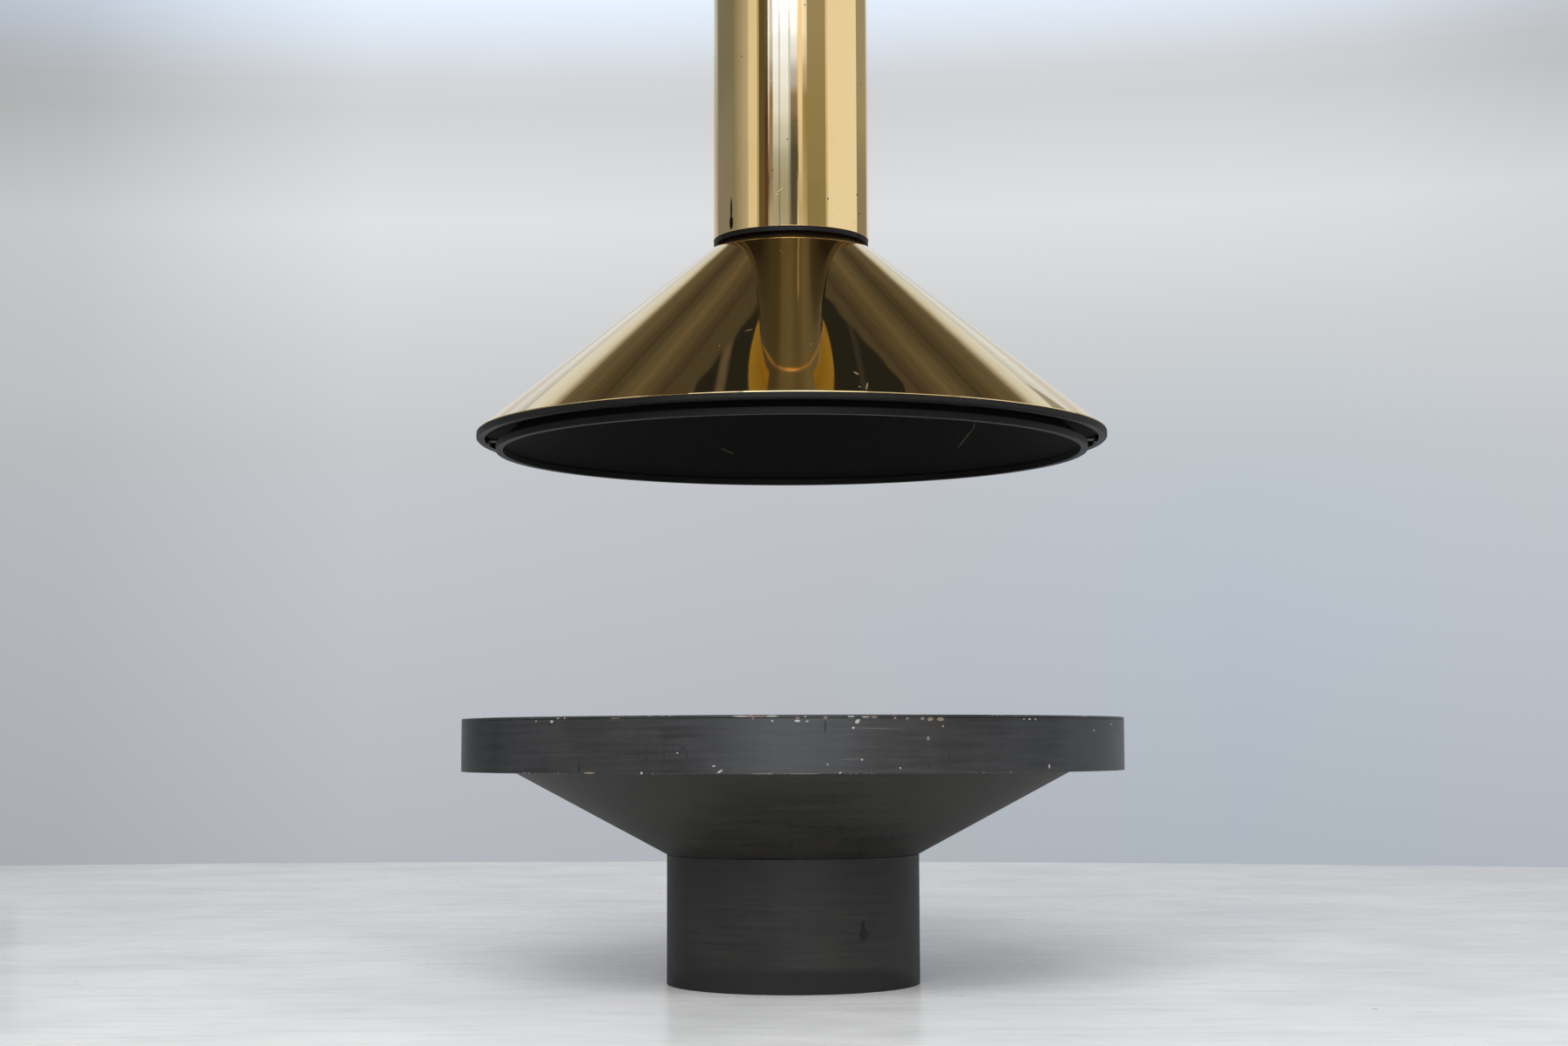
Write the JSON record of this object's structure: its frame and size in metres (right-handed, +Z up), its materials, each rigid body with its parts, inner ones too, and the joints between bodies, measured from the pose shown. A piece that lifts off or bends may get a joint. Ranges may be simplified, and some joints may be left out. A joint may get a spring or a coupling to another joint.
{
  "type": "hanging fireplace",
  "caption": "Hanging fireplace: a polished brass cone hood and flue sleeve hung from the ceiling over a black steel fire bowl on a round pedestal, with damper, grate and ash pan.",
  "frame": {"origin": "on the floor, at the centre of the pedestal's foot, on the axis that the bowl, the hood and the flue share", "axes": "+Z up along the flue, -Y to the front, the side that the open damper's lever points to, and +X to the right seen from the front"},
  "size_m": [1.1, 1.1, 2.4],
  "materials": {
    "polished_brass": "polished mirror bright, lightly tarnished, unlacquered",
    "black_paint": "matt heatproof black paint, worn and chipped at its edges",
    "stove_enamel": "dull black heatproof coating, sooted",
    "bare_steel": "zinc plated or bare steel, dull",
    "cast_iron": "sand cast, dark, heat-dulled",
    "firebrick": "cast fireclay, buff, sooted",
    "bakelite": "moulded phenolic, low gloss"
  },
  "bodies": {
    "fireplace": {"pedestal": "black_paint", "base_flange": "black_paint", "anchor_bolt_1": "bare_steel", "anchor_bolt_2": "bare_steel", "anchor_bolt_3": "bare_steel", "anchor_bolt_4": "bare_steel", "fire_bowl": "black_paint", "bowl_bolt_1": "bare_steel", "bowl_bolt_2": "bare_steel", "bowl_bolt_3": "bare_steel", "bowl_bolt_4": "bare_steel", "hearth_band": "black_paint", "hearth_channel": "black_paint", "hearth_shelf": "black_paint", "firebrick_1": "firebrick", "firebrick_2": "firebrick", "firebrick_3": "firebrick", "firebrick_4": "firebrick", "firebrick_5": "firebrick", "firebrick_6": "firebrick", "grate_stand": "cast_iron", "brass_hood": "polished_brass", "outer_rim": "black_paint", "inner_hood": "stove_enamel", "inner_rim": "black_paint", "hood_bracket_1": "black_paint", "hood_bracket_2": "black_paint", "hood_bracket_3": "black_paint", "hood_bracket_4": "black_paint", "hood_bracket_5": "black_paint", "hood_bracket_6": "black_paint", "hood_collar": "stove_enamel", "flue_pipe": "stove_enamel", "flue_screw_1": "bare_steel", "flue_screw_2": "bare_steel", "flue_screw_3": "bare_steel", "neck_ring_1": "black_paint", "neck_ring_2": "black_paint", "neck_ring_3": "black_paint", "lower_sleeve": "polished_brass", "upper_sleeve": "polished_brass", "ceiling_plate": "black_paint", "ceiling_bolt_1": "bare_steel", "ceiling_bolt_2": "bare_steel", "ceiling_bolt_3": "bare_steel", "ceiling_bolt_4": "bare_steel", "ceiling_rosette": "polished_brass", "rosette_screw_1": "bare_steel", "rosette_screw_2": "bare_steel", "spindle_bush_right": "bare_steel", "spindle_bush_left": "bare_steel"},
    "damper": {"damper_spindle": "bare_steel", "damper_plate": "stove_enamel", "damper_screw_1": "bare_steel", "damper_screw_2": "bare_steel", "damper_lever": "bare_steel", "lever_knob": "bakelite"},
    "ash_pan": {"ash_pan": "black_paint", "ash_pan_handle": "bare_steel"},
    "grate": {"grate": "cast_iron"}
  },
  "joints": [
    {"name": "damper_turn", "type": "hinge", "parent": "fireplace", "child": "damper", "pos_m": [0, 0, 1.2621], "axis": [1, 0, 0], "range_deg": [0, 90]},
    {"name": "ash_pan_lift", "type": "slide", "parent": "fireplace", "child": "ash_pan", "axis": [0, 0, 1], "range_m": [0, 0.33]},
    {"name": "grate_lift", "type": "slide", "parent": "ash_pan", "child": "grate", "axis": [0, 0, 1], "range_m": [0, 0.22]}
  ]
}
